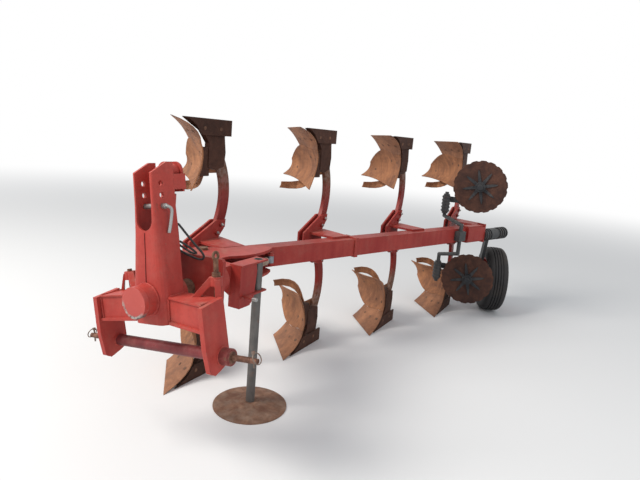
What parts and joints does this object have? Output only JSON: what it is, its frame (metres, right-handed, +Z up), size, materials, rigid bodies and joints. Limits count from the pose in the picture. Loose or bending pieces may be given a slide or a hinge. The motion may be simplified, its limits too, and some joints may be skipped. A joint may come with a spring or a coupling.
{
  "type": "moldboard plough",
  "caption": "Mounted reversible mouldboard plough with opposed plough bodies along a slanted beam, a turnover headstock, disc coulters, a swinging depth wheel and a parking stand.",
  "frame": {"origin": "middle of the plan outline, on the ground under it", "axes": "+X forward in the direction of travel, +Y to the left, +Z up"},
  "size_m": [4.3576, 1.9858, 1.7197],
  "materials": {
    "red_paint": "old gloss enamel, scuffed and chipped, rusty where bare",
    "dark_red_paint": "dull dark enamel, scuffed",
    "rusty_steel": "rusty",
    "zinc_steel": "zinc plated, dulled",
    "black_paint": "satin",
    "board_steel": "scoured steel under a skin of orange rust, streaked",
    "share_steel": "paler orange rust",
    "dark_steel": "dark brown rust",
    "chrome_rod": "polished",
    "hose_rubber": "matt",
    "tan_paint": "dull",
    "tyre_rubber": "matt, dusty"
  },
  "bodies": {
    "headstock": {"cross_beam": "red_paint", "end_plates": "red_paint", "tower": "red_paint", "bearing_housing": "red_paint", "housing_cap": "red_paint", "cross_shaft": "dark_red_paint", "link_pins": "rusty_steel", "top_link_pin": "zinc_steel", "spindle_brackets": "red_paint", "tilt_spindles": "rusty_steel", "cylinder_bracket": "red_paint", "hoses": "hose_rubber", "cylinder_barrel": "red_paint"},
    "linch_pin_left": {"linch_pin_left": "zinc_steel"},
    "linch_pin_right": {"linch_pin_right": "zinc_steel"},
    "cylinder_rod": {"cylinder_rod": "chrome_rod"},
    "turning_frame": {"turning_shaft": "rusty_steel", "turning_head": "red_paint", "turnover_crank": "red_paint", "pivot_plates": "red_paint", "pivot_pin": "rusty_steel", "stand_bracket": "red_paint", "turnbuckle": "tan_paint", "front_beam": "red_paint", "rear_beam": "red_paint", "leg_brackets": "red_paint", "shanks_lower": "red_paint", "shanks_upper": "red_paint", "frogs_lower": "dark_steel", "frogs_upper": "dark_steel", "landsides_lower": "dark_steel", "landsides_upper": "dark_steel", "shares_lower": "share_steel", "shares_upper": "share_steel", "mouldboards_lower": "board_steel", "mouldboards_upper": "board_steel", "trash_boards_lower": "board_steel", "trash_boards_upper": "board_steel", "coulter_holder": "black_paint", "end_block": "red_paint", "wheel_pivot": "black_paint"},
    "stand": {"stand_tube": "zinc_steel", "stand_foot": "rusty_steel"},
    "coulter_lower": {"coulter_arm_lower": "black_paint"},
    "coulter_upper": {"coulter_arm_upper": "black_paint"},
    "lower_disc": {"disc_lower": "dark_steel"},
    "upper_disc": {"disc_upper": "dark_steel"},
    "wheel_swing_arm": {"wheel_arm": "black_paint"},
    "wheel": {"wheel_rim": "red_paint", "wheel_tyre": "tyre_rubber"}
  },
  "joints": [
    {"name": "turnover", "type": "hinge", "parent": "headstock", "child": "turning_frame", "pos_m": [1.8698, -0.0669, 0.86], "axis": [-1, 0, 0], "range_deg": [0, 162.2]},
    {"name": "turnover_cylinder_rod", "type": "slide", "parent": "headstock", "child": "cylinder_rod", "axis": [0, -0.0492, -0.9988], "range_m": [-0.113, 0]},
    {"name": "linch_pin_left_pull", "type": "slide", "parent": "headstock", "child": "linch_pin_left", "axis": [0, -0.1547, 0.988], "range_m": [0, 0.12]},
    {"name": "linch_pin_right_pull", "type": "slide", "parent": "headstock", "child": "linch_pin_right", "axis": [0, -0.1547, 0.988], "range_m": [0, 0.12]},
    {"name": "stand_slide", "type": "slide", "parent": "turning_frame", "child": "stand", "axis": [0, 0, 1], "range_m": [0, 0.45]},
    {"name": "lower_coulter_swivel", "type": "hinge", "parent": "turning_frame", "child": "coulter_lower", "pos_m": [-1.3052, 0.3421, 0.445], "axis": [0, 0, 1], "range_deg": [-40, 0]},
    {"name": "upper_coulter_swivel", "type": "hinge", "parent": "turning_frame", "child": "coulter_upper", "pos_m": [-1.3052, 0.3421, 1.12], "axis": [0, 0, 1], "range_deg": [-40, 0]},
    {"name": "lower_disc_spin", "type": "hinge", "parent": "coulter_lower", "child": "lower_disc", "pos_m": [-1.3353, 0.6424, 0.403], "axis": [-0.9781, -0.2079, 0], "continuous": true},
    {"name": "upper_disc_spin", "type": "hinge", "parent": "coulter_upper", "child": "upper_disc", "pos_m": [-1.3353, 0.6424, 1.317], "axis": [-0.9781, -0.2079, 0], "continuous": true},
    {"name": "wheel_swing", "type": "hinge", "parent": "turning_frame", "child": "wheel_swing_arm", "pos_m": [-1.6549, 0.7407, 0.835], "axis": [0.9471, -0.3211, 0], "range_deg": [0, 180]},
    {"name": "wheel_spin", "type": "hinge", "parent": "wheel_swing_arm", "child": "wheel", "pos_m": [-1.8502, 0.7771, 0.335], "axis": [-0.4226, 0.9063, 0], "continuous": true}
  ]
}
